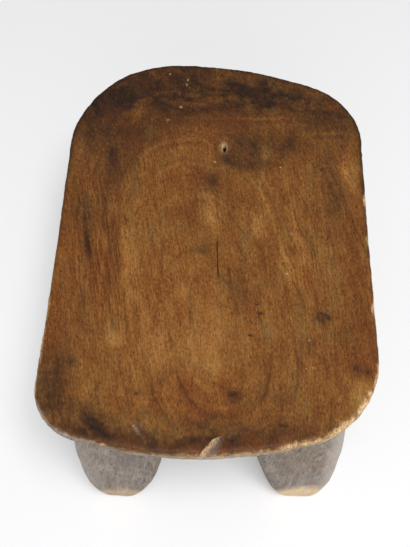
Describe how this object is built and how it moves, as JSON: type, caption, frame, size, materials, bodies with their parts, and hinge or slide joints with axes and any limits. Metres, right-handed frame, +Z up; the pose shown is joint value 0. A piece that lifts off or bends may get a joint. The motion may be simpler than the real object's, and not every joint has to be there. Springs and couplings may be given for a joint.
{
  "type": "low wooden stool",
  "caption": "Low carved wooden stool: a shallow dished oblong seat with rounded corners on stout tapering legs, to sit on near the ground.",
  "frame": {"origin": "on the floor, under the middle of the seat's bounding box", "axes": "+Z up, +Y along the seat to the back, the end farther from the picture's viewer, +X to that viewer's right"},
  "size_m": [0.247, 0.358, 0.1614],
  "materials": {
    "seat_wood": "dense hardwood, hand rubbed and darkened by use, satin on the seat and bare on its worn edge",
    "leg_wood": "the same hardwood left as carved, weathered grey-brown and matt, pale where the feet rub"
  },
  "bodies": {
    "root": {"seat": "seat_wood", "front_left_leg": "leg_wood", "front_right_leg": "leg_wood", "back_left_leg": "leg_wood", "back_right_leg": "leg_wood"}
  },
  "joints": []
}
